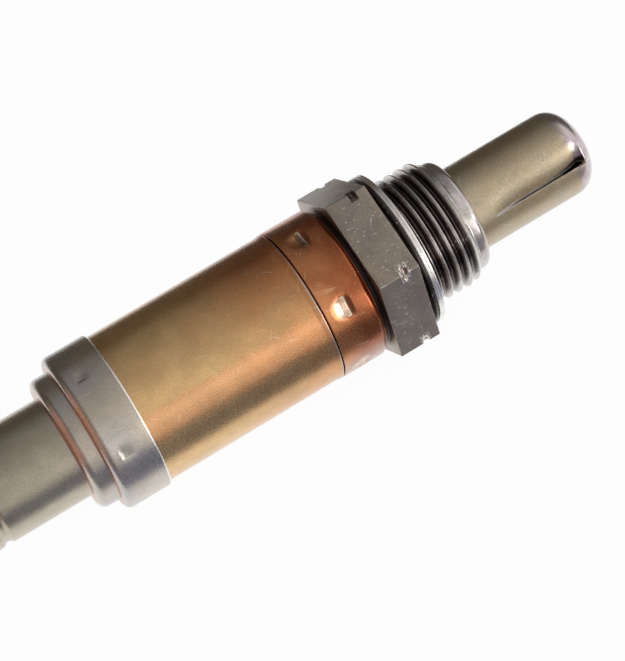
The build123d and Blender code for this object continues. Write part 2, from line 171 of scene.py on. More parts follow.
def swept(name, outline, angles, radius_at=None, closed=True):
    """The outline (x, radius) carried round the axis through the angles, in degrees."""
    vertices, faces = [], []
    for angle in angles:
        for x, radius in outline:
            r = radius_at(x, radius, angle) if radius_at else radius
            vertices.append((x * MM, r * math.cos(math.radians(angle)) * MM,
                             r * math.sin(math.radians(angle)) * MM))
    rows = len(outline)
    for column in range(len(angles) - 1):
        for row in range(rows if closed else rows - 1):
            here, there = column * rows + row, column * rows + (row + 1) % rows
            faces.append((here, there, there + rows, here + rows))
    return placed(name, new_mesh(name, vertices, faces))


def smoothstep(value, low, high):
    """0 at low, 1 at high, with a soft start and end."""
    t = min(1, max(0, (value - low) / (high - low)))
    return t * t * (3 - 2 * t)


class Tree:
    """Short names for adding and joining the nodes of a tree."""

    def __init__(self, tree):
        self.tree = tree

    def add(self, kind, inputs=None, **settings):
        node = self.tree.nodes.new(kind)
        for key, value in settings.items():
            setattr(node, key, value)
        for key, value in (inputs or {}).items():
            self.join(value, node.inputs[key])
        return node

    def join(self, value, socket):
        """Joins an output, or a node's first output, to the socket, or sets the socket to the value."""
        if isinstance(value, bpy.types.Node):
            value = value.outputs[0]
        if isinstance(value, bpy.types.NodeSocket):
            self.tree.links.new(value, socket)
        else:
            socket.default_value = value

    def seen_as(self, shader):
        self.add("ShaderNodeOutputMaterial", {"Surface": shader})

    def math(self, operation, first, second=0.0, third=0.0, clamp=False):
        node = self.add("ShaderNodeMath", {0: first, 1: second, 2: third}, operation=operation)
        node.use_clamp = clamp
        return node.outputs[0]

    def times(self, first, second):
        return self.math("MULTIPLY", first, second)

    def plus(self, first, second):
        return self.math("ADD", first, second)

    def minus(self, first, second):
        return self.math("SUBTRACT", first, second)

    def noise_in(self, vector, scale, detail, **more):
        """Soft noise from 0 to 1, read at the vector."""
        inputs = {"Vector": vector, "Scale": scale, "Detail": detail, **more}
        return self.add("ShaderNodeTexNoise", inputs).outputs["Fac"]

    def most(self, value, *others):
        for other in others:
            value = self.math("MAXIMUM", value, other)
        return value

    def least(self, value, *others):
        for other in others:
            value = self.math("MINIMUM", value, other)
        return value

    def ramp(self, value, low, high, to_low=0.0, to_high=1.0, kind="SMOOTHSTEP"):
        node = self.add("ShaderNodeMapRange", {0: value, 1: low, 2: high, 3: to_low, 4: to_high},
                        interpolation_type=kind)
        return node.outputs[0]


def new_group(tree_kind, name, inputs, outputs):
    """A node group; an input is its label and kind, and the value it has when nothing is joined to it."""
    tree = bpy.data.node_groups.new(name, tree_kind)
    sockets = {}
    for label, kind, *start in inputs:
        socket = tree.interface.new_socket(label, in_out="INPUT", socket_type="NodeSocket" + kind)
        sockets[label] = socket.identifier
        if start:
            socket.default_value = start[0]
    for label, kind in outputs:
        tree.interface.new_socket(label, in_out="OUTPUT", socket_type="NodeSocket" + kind)
    nodes = Tree(tree)
    return nodes, nodes.add("NodeGroupInput").outputs, nodes.add("NodeGroupOutput").inputs, sockets


# ---- patterns round the axis, built as geometry nodes ----
def build_sector_pattern():
    """Repeats one sector round the axis and welds the copies into one skin."""
    nodes, given, made, sockets = new_group("GeometryNodeTree", "sectors_round_the_axis", [
        ("Geometry", "Geometry"), ("Count", "Int"), ("First Angle", "Float"), ("Weld", "Float"),
        ("Finish", "Material"),
    ], [("Geometry", "Geometry")])
    points = nodes.add("GeometryNodePoints", {"Count": given["Count"]})
    index = nodes.add("GeometryNodeInputIndex")
    step = nodes.math("DIVIDE", math.tau, given["Count"])
    angle = nodes.math("MULTIPLY_ADD", index, step, given["First Angle"])
    spin = nodes.add("ShaderNodeCombineXYZ", {"X": angle})
    copies = nodes.add("GeometryNodeInstanceOnPoints",
                       {"Points": points, "Instance": given["Geometry"], "Rotation": spin})
    real = nodes.add("GeometryNodeRealizeInstances", {0: copies})
    welded = nodes.add("GeometryNodeMergeByDistance", {0: real, "Distance": given["Weld"]})
    finished = nodes.add("GeometryNodeSetMaterial", {0: welded, "Material": given["Finish"]})
    nodes.join(finished, made[0])
    return nodes.tree, sockets


def build_thread_pattern():
    """A helical thread: a flat grid rolled round the axis, its radius following the thread's form."""
    lengths = ("Start", "End", "Crest Radius", "Root Radius", "Pitch", "Crest Place", "Core Radius",
               "Start Slope", "Chamfer Start")
    nodes, value, made, sockets = new_group("GeometryNodeTree", "helical_thread", [
        ("Geometry", "Geometry"), *((label, "Float") for label in lengths),
        ("Rows", "Int"), ("Columns", "Int"), ("Finish", "Material"),
    ], [("Geometry", "Geometry")])
    grid = nodes.add("GeometryNodeMeshGrid", {
        "Size X": 1.0, "Size Y": 1.0, "Vertices X": value["Rows"], "Vertices Y": value["Columns"],
    })
    place = nodes.add("ShaderNodeSeparateXYZ", {0: nodes.add("GeometryNodeInputPosition")})
    share = nodes.plus(place.outputs["X"], 0.5)
    length = nodes.minus(value["End"], value["Start"])
    x = nodes.math("MULTIPLY_ADD", share, length, value["Start"])
    turns = nodes.plus(place.outputs["Y"], 0.5)
    # Distance to the nearest crest, as a share of half the pitch: 0 on a crest and 1 in a root.
    climb = nodes.math("DIVIDE", nodes.minus(x, value["Crest Place"]), value["Pitch"])
    phase = nodes.minus(climb, turns)
    to_crest = nodes.times(nodes.math("PINGPONG", phase, 0.5), 2.0)
    form = nodes.ramp(to_crest, 0.0, 0.92, 1.0, 0.0)
    depth = nodes.minus(value["Crest Radius"], value["Root Radius"])
    cut = nodes.math("MULTIPLY_ADD", form, depth, value["Root Radius"])
    rise = nodes.math("MULTIPLY_ADD", nodes.minus(x, value["Start"]), value["Start Slope"],
                      value["Core Radius"])
    chamfer = nodes.minus(nodes.plus(value["Crest Radius"], value["Chamfer Start"]), x)
    limit = nodes.math("SMOOTH_MIN", rise, chamfer, 0.1)
    radius = nodes.math("SMOOTH_MIN", cut, limit, 0.12)
    inner_end = nodes.most(nodes.math("LESS_THAN", share, 1e-5),
                           nodes.math("GREATER_THAN", share, 1 - 1e-5))
    tucked = nodes.math("MULTIPLY_ADD", inner_end, -0.6, radius)
    angle = nodes.times(turns, math.tau)
    rolled = nodes.add("ShaderNodeCombineXYZ", {
        "X": x, "Y": nodes.times(tucked, nodes.math("COSINE", angle)),
        "Z": nodes.times(tucked, nodes.math("SINE", angle)),
    })
    metres = nodes.add("ShaderNodeVectorMath", {0: rolled, "Scale": MM}, operation="SCALE")
    moved = nodes.add("GeometryNodeSetPosition", {0: grid, "Position": metres})
    welded = nodes.add("GeometryNodeMergeByDistance", {0: moved, "Distance": 1e-6})
    real = nodes.add("GeometryNodeRealizeInstances", {0: welded})
    finished = nodes.add("GeometryNodeSetMaterial", {0: real, "Material": value["Finish"]})
    nodes.join(finished, made[0])
    return nodes.tree, sockets


def applied(piece):
    """Keeps what the modifiers of a piece make as its plain mesh."""
    bpy.context.view_layer.update()
    mesh = bpy.data.meshes.new_from_object(piece.evaluated_get(bpy.context.evaluated_depsgraph_get()))
    old = piece.data
    piece.modifiers.clear()
    piece.data = mesh
    mesh.name = piece.name
    bpy.data.meshes.remove(old)


def made_real(piece, tree, sockets, values):
    """Runs the geometry nodes on a piece and keeps the result as its plain mesh."""
    modifier = piece.modifiers.new("pattern", "NODES")
    modifier.node_group = tree
    for label, value in values.items():
        modifier[sockets[label]] = value
    piece.data.update()
    applied(piece)


def dressed(piece, sharp_from=32.0, weld=0.5e-6):
    """Welds the seams, turns the faces outwards and keeps only real edges sharp."""
    shape = bmesh.new()
    shape.from_mesh(piece.data)
    bmesh.ops.remove_doubles(shape, verts=shape.verts, dist=weld)
    bmesh.ops.dissolve_degenerate(shape, edges=shape.edges, dist=weld / 5)
    bmesh.ops.recalc_face_normals(shape, faces=shape.faces)
    for face in shape.faces:
        face.smooth = True
    limit = math.radians(sharp_from)
    for edge in shape.edges:
        edge.smooth = len(edge.link_faces) != 2 or edge.calc_face_angle() < limit
    shape.to_mesh(piece.data)
    shape.free()
    return piece


sector_tree, sector_sockets = build_sector_pattern()
thread_tree, thread_sockets = build_thread_pattern()


def round_the_axis(piece, count, first_angle, finish, sharp_from):
    """A whole turned piece from one sector."""
    made_real(piece, sector_tree, sector_sockets, {
        "Count": count, "First Angle": math.radians(first_angle), "Weld": 0.8e-6, "Finish": finish,
    })
    return dressed(piece, sharp_from)


# ---- surface effects shared by the finishes ----
def tone(red, green, blue):
    """A colour given as it looks on a screen, 0 to 255, as the renderer's linear colour."""
    linear = [c / 255 / 12.92 if c <= 10 else ((c / 255 + 0.055) / 1.055) ** 2.4
              for c in (red, green, blue)]
    return (*linear, 1.0)


bright_steel = tone(232, 222, 212)


def build_unrolled():
    """The surface laid flat: millimetres along the axis and round it, and the turn from +Z to +Y."""
    nodes, given, made, _ = new_group(
        "ShaderNodeTree", "unrolled_surface",
        [("Position", "Vector"), ("Radius", "Float", 10.0)],
        [("Flat", "Vector"), ("Along", "Float"), ("Turn", "Float"),
         ("Distance", "Float")],
    )
    scaled = nodes.add("ShaderNodeVectorMath", {0: given["Position"], "Scale": 1 / MM}, operation="SCALE")
    axes = nodes.add("ShaderNodeSeparateXYZ", {0: scaled}).outputs
    turn = nodes.math("ARCTAN2", axes["Y"], axes["Z"])
    squares = nodes.math("MULTIPLY_ADD", axes["Z"], axes["Z"], nodes.times(axes["Y"], axes["Y"]))
    distance = nodes.math("SQRT", squares)
    flat = nodes.add("ShaderNodeCombineXYZ", {
        "X": axes["X"], "Y": nodes.times(turn, given["Radius"]), "Z": distance,
    })
    nodes.join(flat, made["Flat"])
    nodes.join(axes["X"], made["Along"])
    nodes.join(nodes.math("DEGREES", turn), made["Turn"])
    nodes.join(distance, made["Distance"])
    return nodes.tree


def build_grain():
    """Fine even grain of etched, drawn or oxidised metal, and a slower mottle under it."""
    nodes, given, made, _ = new_group(
        "ShaderNodeTree", "metal_grain",
        [("Flat", "Vector"), ("Grain Scale", "Float", 5.0),
         ("Mottle Scale", "Float", 0.35), ("Stretch", "Vector", (1.0, 1.0, 1.0))],
        [("Grain", "Float"), ("Mottle", "Float")],
    )
    drawn = nodes.add("ShaderNodeVectorMath", {0: given["Flat"], 1: given["Stretch"]}, operation="MULTIPLY")
    fine = nodes.noise_in(drawn, given["Grain Scale"], 3.0, Roughness=0.65)
    slow = nodes.noise_in(given["Flat"], given["Mottle Scale"], 4.0, Roughness=0.55, Distortion=0.4)
    nodes.join(nodes.ramp(fine, 0.3, 0.7), made["Grain"])
    nodes.join(nodes.ramp(slow, 0.3, 0.7), made["Mottle"])
    return nodes.tree


def build_scratches():
    """Sparse hairlines: stretched noise cut off high, kept only in patches."""
    nodes, given, made, _ = new_group(
        "ShaderNodeTree", "hairline_scratches",
        [("Flat", "Vector"), ("Scale", "Float", 3.0),
         ("Slant", "Float", 0.6), ("Amount", "Float", 0.5)],
        [("Mask", "Float")],
    )
    masks = []
    for slant_share, shift in ((1.0, 3.1), (-1.6, 17.7), (0.35, 41.3)):
        slant = nodes.times(given["Slant"], slant_share)
        turned = nodes.add("ShaderNodeVectorRotate", {"Vector": given["Flat"], "Angle": slant},
                           rotation_type="Z_AXIS")
        long = nodes.add("ShaderNodeMapping", {"Vector": turned, "Location": (shift, shift, shift),
                                               "Scale": (0.09, 1.0, 0.2)})
        line = nodes.ramp(nodes.noise_in(long, given["Scale"], 1.0, Distortion=0.25), 0.685, 0.72)
        patch = nodes.ramp(nodes.noise_in(turned, 0.45, 1.0), 0.5, 0.6)
        masks.append(nodes.times(line, patch))
    nodes.join(nodes.math("MULTIPLY", nodes.most(*masks), given["Amount"], clamp=True), made["Mask"])
    return nodes.tree


def build_nicks():
    """Short bright handling marks, each one cell of a stretched cell pattern, most cells left out."""
    nodes, given, made, _ = new_group(
        "ShaderNodeTree", "handling_nicks",
        [("Flat", "Vector"), ("Scale", "Float", 1.2),
         ("Size", "Float", 0.12), ("Share", "Float", 0.3)],
        [("Mask", "Float")],
    )
    masks = []
    for slant, shift in ((0.45, 2.3), (-0.9, 11.9)):
        turned = nodes.add("ShaderNodeMapping", {
            "Vector": given["Flat"], "Location": (shift, shift, 0.0), "Rotation": (0.0, 0.0, slant),
            "Scale": (0.28, 1.0, 0.0),
        })
        cells = nodes.add("ShaderNodeTexVoronoi", {
            "Vector": turned, "Scale": given["Scale"],
        }, voronoi_dimensions="2D")
        draw = nodes.add("ShaderNodeSeparateXYZ", {0: cells.outputs["Color"]}).outputs
        size = nodes.times(given["Size"], nodes.ramp(draw["Y"], 0.0, 1.0, 0.35, 1.0))
        mark = nodes.math("LESS_THAN", cells.outputs["Distance"], size)
        kept = nodes.math("LESS_THAN", draw["X"], given["Share"])
        masks.append(nodes.times(mark, kept))
    nodes.join(nodes.most(*masks), made["Mask"])
    return nodes.tree


unrolled_group = build_unrolled()
grain_group = build_grain()
scratch_group = build_scratches()
nick_group = build_nicks()


class Finish(Tree):
    """A material with the surface laid flat, ready for its colour, roughness and relief."""

    def __init__(self, name, radius=10.0):
        self.material = bpy.data.materials.new(name)
        self.material.use_nodes = True
        super().__init__(self.material.node_tree)
        self.tree.nodes.clear()
        self.surface = self.add("ShaderNodeBsdfPrincipled")
        self.seen_as(self.surface)
        position = self.add("ShaderNodeTexCoord").outputs["Object"]
        place = self.group(unrolled_group, Position=position, Radius=radius)
        self.flat, self.along, self.turn, self.distance = (
            place[key] for key in ("Flat", "Along", "Turn", "Distance"))

    def group(self, tree, **inputs):
        node = self.add("ShaderNodeGroup", node_tree=tree)
        for key, value in inputs.items():
            self.join(value, node.inputs[key.replace("_", " ")])
        return node.outputs

    def mix(self, share, first, second, blend="MIX"):
        node = self.add("ShaderNodeMix", data_type="RGBA", blend_type=blend)
        for value, socket in ((share, node.inputs[0]), (first, node.inputs[6]), (second, node.inputs[7])):
            self.join(value, socket)
        return node.outputs[2]

    def shade(self, colour, value, low, high):
        """The colour made darker or lighter as the value goes from 0 to 1."""
        level = self.ramp(value, 0.0, 1.0, low, high, "LINEAR")
        grey = self.add("ShaderNodeCombineColor", {0: level, 1: level, 2: level})
        return self.mix(1.0, colour, grey, "MULTIPLY")

    def band(self, value, low, high, soft):
        """1 between low and high, fading over the soft width outside them."""
        rise = self.ramp(value, low - soft, low)
        fall = self.ramp(value, high, high + soft, 1.0, 0.0)
        return self.times(rise, fall)

    def from_nearest(self, first, count):
        """Degrees round the axis from the nearest of count places, the first at the given polar angle."""
        turned = self.minus(self.minus(90.0, first), self.turn)
        return self.math("WRAP", turned, 180 / count, -180 / count)

    def noise(self, scale, detail=2.0, vector=None):
        return self.noise_in(self.flat if vector is None else vector, scale, detail)

    def clouded(self, scale, detail, low, high, first, second):
        """A colour that wanders between two, in soft clouds."""
        return self.mix(self.ramp(self.noise(scale, detail), low, high), first, second)

    def toward_seam(self, start, end, scale, wander, first, second):
        """A colour that goes from one to another along the axis, with a wandering border."""
        share = self.ramp(self.along, start, end, kind="LINEAR")
        share = self.plus(share, self.ramp(self.noise(scale), 0.3, 0.7, -wander, wander))
        return self.mix(self.least(share, 1.0), first, second)

    def layered(self, colour, *layers):
        """The colour under its layers, each a share and a colour, from the lowest up."""
        for share, over in layers:
            colour = self.mix(share, colour, over)
        return colour

    def done(self, colour, roughness, height, depth, metallic=1.0, film=0.0):
        self.join(colour, self.surface.inputs["Base Color"])
        self.join(roughness, self.surface.inputs["Roughness"])
        self.surface.inputs["Metallic"].default_value = metallic
        self.surface.inputs["Coat Weight"].default_value = film
        self.surface.inputs["Coat Roughness"].default_value = 0.22
        bump = self.add("ShaderNodeBump", {"Height": height, "Distance": depth * MM, "Strength": 1.0})
        self.join(bump, self.surface.inputs["Normal"])
        return self.material


def worn_metal(finish, colour, roughness, grain_scale=5.0, mottle_scale=0.35, stretch=(1, 1, 1),
               grain_shade=(0.93, 1.07), mottle_shade=(0.9, 1.1), grain_depth=0.006, grain_rough=0.10,
               scratch_amount=0.3, nick_scale=1.2, nick_size=0.06, nick_share=0.03,
               bright=bright_steel, film=0.6, polished=0.0):
    """Grain, mottle, hairlines and nicks over a metal; the grain is gone where it is polished."""
    grain = finish.group(grain_group, Flat=finish.flat, Grain_Scale=grain_scale,
                         Mottle_Scale=mottle_scale, Stretch=stretch)
    scratches = finish.group(scratch_group, Flat=finish.flat, Amount=scratch_amount)["Mask"]
    nicks = finish.group(nick_group, Flat=finish.flat, Scale=nick_scale, Size=nick_size,
                         Share=nick_share)["Mask"]
    left = finish.minus(1.0, polished)
    fine = finish.math("MULTIPLY_ADD", finish.minus(grain["Grain"], 0.5), left, 0.5)
    colour = finish.shade(colour, grain["Mottle"], *mottle_shade)
    colour = finish.shade(colour, fine, *grain_shade)
    marks = finish.most(scratches, nicks)
    colour = finish.mix(marks, colour, bright)
    rough = finish.math("MULTIPLY_ADD", fine, grain_rough, roughness)
    rough = finish.math("MULTIPLY_ADD", marks, -0.08, rough)
    height = finish.math("MULTIPLY_ADD", marks, -0.6, fine)
    return finish.done(colour, rough, height, grain_depth, film=film)


# ---- the finishes ----
def cap_finish():
    """Drawn stainless cap: grey-beige and satin, with a painted pink reflection on the faces of both steps
    and a painted highlight on the burnished rim.
    """
    finish = Finish("cap_drawn_steel", cap_radius)

    def recess(x, lip):
        return finish.times(finish.band(finish.along, x - 0.02, x + 0.05, 0.12),
                            finish.ramp(finish.distance, lip, lip - 0.25))

    colour = finish.clouded(0.16, 3.0, 0.35, 0.65, tone(201, 189, 173), tone(192, 186, 180))
    # Painted reflection: the faces of both steps are tinted pink, as if mirroring something pink behind the
    # cap.
    painted_recess_reflection = finish.most(recess(cap_shoulder_x, cap_radius - 0.75),
                           recess(cap_step_x, cap_step_radius - 0.85))
    tail = finish.ramp(finish.along, cap_step_x - 0.1, cap_step_x - 0.5)
    # Painted highlight: the rim's rounding is painted near white, over an edge that is burnished.
    rim = finish.band(finish.along, cap_rim_x - cap_rim_edge, cap_rim_x, 0.04)
    colour = finish.layered(colour, (painted_recess_reflection, tone(194, 138, 112)), (tail, tone(190, 180, 160)),
                            (rim, tone(250, 245, 240)))
    return worn_metal(finish, colour, 0.25, grain_scale=4.5, mottle_scale=0.3, grain_depth=0.005,
                      mottle_shade=(0.93, 1.07))


def main_sleeve_finish():
    """Heat-tinted gold: copper towards the seam, redder on top, a painted pink-orange highlight tint along
    one side, raw at the mouth.
    """
    finish = Finish("main_sleeve_gold_tint", cap_radius)
    colour = finish.toward_seam(
        copper_from_x, seam_x - 0.5, 0.12, 0.12, tone(225, 184, 128), tone(212, 154, 100))
    olive = finish.times(finish.ramp(finish.noise(0.2, 3.0), 0.42, 0.7), 0.25)
    mouth = finish.band(finish.along, seam_x - 0.20, seam_x + 0.2, 0.05)
    redder = finish.times(finish.ramp(finish.turn, -20.0, 25.0),
                          finish.ramp(finish.along, copper_from_x, seam_x, 0.0, 0.7))
    # Painted highlight: a pink-orange tint in the band round the axis where the light is brightest.
    painted_salmon_highlight = finish.times(finish.band(finish.turn, -44.0, -29.0, 7.0), 0.5)
    colour = finish.layered(colour, (olive, tone(196, 172, 126)), (mouth, tone(196, 188, 182)),
                            (redder, tone(182, 100, 50)), (painted_salmon_highlight, tone(222, 152, 106)))
    return worn_metal(finish, colour, 0.24, grain_scale=4.0, mottle_scale=0.25, mottle_shade=(0.9, 1.08),
                      scratch_amount=0.35, bright=tone(240, 212, 170), grain_depth=0.004)


def front_sleeve_finish():
    """Heat-tinted copper brown, paler at the seam; painted paler below as a reflection of the floor, painted
    darker in front as shade by the hexagon; raw where it is staked, with a painted glow behind each stake.
    """
    finish = Finish("front_sleeve_copper_tint", front_sleeve_radius)
    colour = finish.toward_seam(-10.0, seam_x, 0.3, 0.2, tone(164, 89, 49), tone(200, 132, 84))
    # Painted shade: darker towards the front, where the hexagon shades the sleeve.
    darker = finish.ramp(finish.along, -10.2, -9.0, 0.0, 0.7)
    # Painted reflection: paler on the underside, standing in for the pale floor seen in the metal.
    paler = finish.ramp(finish.turn, -62.0, -90.0, 0.0, 0.55)
    # The stake's flat floor, as the distance in from its bowed rear side and its other sides.
    across = finish.times(finish.from_nearest(stake_first_angle, stake_count),
                          math.radians(front_sleeve_radius))
    beside = finish.minus(stake_width / 2, finish.math("ABSOLUTE", across))
    bow = finish.times(finish.times(across, across), 4 * stake_bow / stake_width ** 2)
    from_rear = finish.minus(finish.minus(finish.along, stake_x - stake_length / 2), bow)
    to_front = finish.minus(stake_x + stake_length / 2, finish.along)
    inside = finish.least(beside, from_rear, to_front)
    floor = finish.ramp(inside, -0.02, 0.05)
    # Painted shade: the stakes on the upper side get darker pad and glow colours than those below.
    painted_upper_shade = finish.ramp(finish.turn, -10.0, 15.0)
    # Painted highlight: a pale glow on the slope just behind each stake, strongest below.
    painted_stake_glow = finish.times(finish.band(finish.along, stake_x - 0.7, stake_x, 0.9),
                          finish.ramp(finish.math("ABSOLUTE", across), 0.6, 1.6, 1.0, 0.0))
    # Painted highlight: a thin near-white line along the front and ends of each pad, over edges that are
    # burnished.
    edge = finish.times(finish.band(inside, -0.05, 0.04, 0.04), finish.ramp(from_rear, 0.10, 0.20))
    colour = finish.layered(
        colour, (darker, tone(150, 78, 44)), (paler, tone(214, 192, 182)),
        (finish.times(painted_stake_glow, 0.85), finish.mix(painted_upper_shade, tone(238, 220, 196), tone(206, 150, 108))),
        (floor, finish.mix(painted_upper_shade, tone(222, 190, 158), tone(150, 112, 90))), (edge, tone(246, 232, 210)))
    return worn_metal(finish, colour, 0.22, grain_scale=4.0, mottle_scale=0.3, grain_depth=0.004,
                      bright=tone(238, 200, 160), film=0.5)


def housing_finish():
    """Oxidised gunmetal hexagon with bright nicks; painted shade in the groove and on the neck; scuffs round
    the groove painted bright on the lower side only, as glints; paler, tinted steel at the nose.
    """
    finish = Finish("housing_oxidised_steel", hex_half_flats)
    colour = finish.clouded(0.22, 3.0, 0.35, 0.65, tone(153, 142, 133), tone(166, 153, 139))
    notch = finish.times(finish.band(finish.along, groove_rear_x, groove_front_x, 0.05),
                         finish.ramp(finish.distance, groove_radius - 0.04, groove_radius + 0.04))
    # Painted shade: the groove's floor is darker than the flats, and darker still on the upper side.
    floor = finish.mix(finish.ramp(finish.turn, -10.0, 10.0), tone(140, 128, 120), tone(88, 76, 70))
    streaked = finish.add("ShaderNodeMapping", {"Vector": finish.flat, "Scale": (1.7, 0.5, 0.5)})
    # Scuffs round the groove, painted near white only on the lower side, where they stand in for glints as
    # well as wear.
    scuffs_and_glints = finish.times(finish.band(finish.along, groove_rear_x - 0.15, groove_front_x + 0.1, 0.12),
                           finish.ramp(finish.distance, groove_radius - 0.25, groove_radius))
    scuffs_and_glints = finish.times(scuffs_and_glints, finish.ramp(finish.noise(3.4, vector=streaked), 0.52, 0.56))
    scuffs_and_glints = finish.times(scuffs_and_glints, finish.ramp(finish.turn, 10.0, -10.0))
    nose = finish.ramp(finish.along, nose_start_x, nose_start_x + 1)
    tint = finish.clouded(0.5, 3.0, 0.4, 0.65, tone(208, 204, 198), tone(190, 178, 182))
    # Painted shade: the neck between the hexagon and the sleeve is painted near black, its nicks too.
    neck = finish.ramp(finish.along, hex_rear_x, hex_rear_x - 0.05)
    painted_gap_shade = tone(40, 32, 30)
    colour = finish.layered(colour, (notch, floor), (scuffs_and_glints, tone(250, 246, 240)), (nose, tint),
                            (neck, painted_gap_shade))
    rough = finish.ramp(finish.along, nose_start_x, nose_start_x + 1, 0.36, 0.18)
    return worn_metal(finish, colour, rough, mottle_scale=0.5, mottle_shade=(0.90, 1.08),
                      grain_shade=(0.84, 1.14), grain_depth=0.010, scratch_amount=0.42, nick_scale=2.2,
                      nick_size=0.11, nick_share=0.33, bright=finish.mix(neck, bright_steel, painted_gap_shade),
                      film=0.3, polished=nose)


def thread_finish():
    """Rolled thread: dark in the roots, burnished grey crests, paler where it runs out."""
    finish = Finish("thread_oxidised_steel", thread_crest_radius)
    crest = finish.ramp(finish.distance, thread_root_radius + 0.15, thread_crest_radius - 0.1)
    root = finish.clouded(0.6, 3.0, 0.4, 0.6, tone(62, 54, 52), tone(76, 62, 54))
    tinted = finish.clouded(0.35, 3.0, 0.45, 0.65, tone(206, 202, 199), tone(186, 172, 169))
    run_out = finish.ramp(finish.along, 6.0, 6.8)
    colour = finish.layered(root, (crest, tinted), (run_out, tone(204, 200, 194)))
    return worn_metal(finish, colour, 0.17, mottle_scale=0.5, stretch=(0.6, 0.35, 0),
                      mottle_shade=(0.86, 1.10), grain_shade=(0.9, 1.08), grain_depth=0.001, film=0.4)


def gasket_finish():
    """Folded sealing ring: plain bright steel with fine turning lines, and painted shade on the fold behind
    the bead.
    """
    finish = Finish("gasket_bright_steel", ring_radius)
    colour = finish.clouded(0.5, 2.0, 0.35, 0.65, tone(252, 250, 247), tone(238, 235, 229))
    bead_x = ring_front_x - ring_bead
    # Painted shade: the ring behind the bead and its lower, inner part are painted near black.
    painted_fold_shade = finish.most(finish.ramp(finish.distance, ring_radius - 0.8, ring_radius - 1.0),
                            finish.ramp(finish.along, bead_x, bead_x - 0.1))
    colour = finish.mix(painted_fold_shade, colour, tone(58, 50, 47))
    return worn_metal(finish, colour, 0.20, stretch=(1.0, 0.25, 0), mottle_shade=(0.9, 1.06),
                      grain_depth=0.002)


def guard_finish():
    """Matt khaki oxide on the tube, burnished lilac steel on the dome, bare steel where it is cut."""
    finish = Finish("guard_oxidised_steel", guard_radius)
    colour = finish.clouded(0.25, 2.0, 0.35, 0.65, tone(188, 174, 148), tone(191, 172, 142))
    wavy = finish.plus(finish.along, finish.ramp(finish.noise(0.5), 0.3, 0.7, -0.4, 0.4))
    dome = finish.ramp(wavy, guard_corner_x - 0.7, guard_corner_x + 1.0)
    polished = finish.clouded(0.35, 2.0, 0.4, 0.6, tone(204, 194, 196), tone(192, 174, 184))
    lip = finish.band(finish.from_nearest(slot_angle, slot_count), -3.0, 1.0, 0.6)
    cut = finish.times(lip, finish.ramp(finish.distance, guard_radius - 0.02, guard_radius - 0.10))
    colour = finish.layered(colour, (dome, polished), (cut, tone(226, 222, 216)))
    rough = finish.math("MULTIPLY_ADD", dome, -0.05, 0.28)
    rough = finish.math("MULTIPLY_ADD", cut, 0.30, rough)
    return worn_metal(finish, colour, rough, grain_scale=5.5, mottle_scale=0.6, grain_depth=0.014,
                      grain_shade=(0.80, 1.16), mottle_shade=(0.95, 1.04), grain_rough=0.06, polished=dome)


def ceramic_finish(name, colour, roughness, speckle, grain_scale=3.0):
    """Pressed and fired ceramic: faint speckle, fine tooth, no metal."""
    finish = Finish(name, 6.0)
    grain = finish.group(grain_group, Flat=finish.flat, Grain_Scale=grain_scale, Mottle_Scale=0.4)
    shaded = finish.shade(finish.shade(colour, grain["Mottle"], 0.93, 1.03), grain["Grain"], 1 - speckle, 1.0)
    rough = finish.math("MULTIPLY_ADD", grain["Grain"], 0.1, roughness)
    return finish.done(shaded, rough, grain["Grain"], 0.008, metallic=0.0)


def contact_finish():
    """Nickel alloy strip with a light drawn grain."""
    finish = Finish("contact_nickel_alloy", 3.6)
    return worn_metal(finish, tone(206, 200, 186), 0.28, grain_scale=6.0, stretch=(0.3, 2.0, 1))


def rubber_finish():
    """Black grommet rubber, slightly chalky, with moulding grain."""
    finish = Finish("grommet_rubber", 6.6)
    grain = finish.group(grain_group, Flat=finish.flat, Grain_Scale=7.0, Mottle_Scale=0.5)
    chalk = finish.mix(finish.times(grain["Mottle"], 0.5), tone(34, 33, 32), tone(58, 56, 54))
    colour = finish.shade(chalk, grain["Grain"], 0.9, 1.08)
    rough = finish.math("MULTIPLY_ADD", grain["Grain"], 0.15, 0.55)
    return finish.done(colour, rough, grain["Grain"], 0.015, metallic=0.0)


# ---- sizes of the dressed pieces, from the places in the frame ----
# Housing, from the sealing ring back and forwards.
hex_front_x = ring_rear_x
hex_rear_x = hex_front_x - 5.9
hex_edge = 0.10
hex_corner_edge = 0.14
groove_front_x = hex_front_x - 1.5
groove_rear_x = groove_front_x - 1.1
groove_radius = 12.15
groove_mouth = 12.65
groove_slope = 0.42
neck_radius = 9.7
neck_rear_x = hex_rear_x - 1.0
spigot_radius = 10.15
relief_radius = 7.9
thread_start_x = -0.1
thread_crest_radius = 9.0
thread_root_radius = 8.02
thread_pitch = 1.5
thread_crest_place = 0.25
thread_chamfer_x = 6.65
thread_end_x = thread_chamfer_x + thread_crest_radius - relief_radius
thread_core_radius = relief_radius - 0.1
thread_run_in = 1.6
thread_rows = 150
thread_columns = 241
nose_start_x = 6.5
pilot_edge = 1.0
housing_bore_radius = 6.05
stack_bore_radius = 7.4
stack_seat_x = hex_front_x - 1.0

# Sealing ring.
ring_bore_radius = 9.15
ring_foot_radius = 9.9
ring_edge_gap = 0.50
ring_bead = 0.84

# Guard.
guard_radius = 6.0
guard_wall = 0.5
guard_corner_radius = 3.2
guard_crown_radius = 9.8
guard_crown_x = guard_tip_x - guard_crown_radius
guard_corner_height = guard_radius - guard_corner_radius
guard_corner_x = guard_crown_x + math.sqrt(
    (guard_crown_radius - guard_corner_radius) ** 2 - guard_corner_height ** 2)
slot_count = 3
slot_end_x = guard_tip_x - 2.3
slot_start_x = slot_end_x - 14.4
slot_angle = 136.5
flap_width = 48.0
flap_depth = 1.75
flap_end = 0.9
lip_depth = 0.74

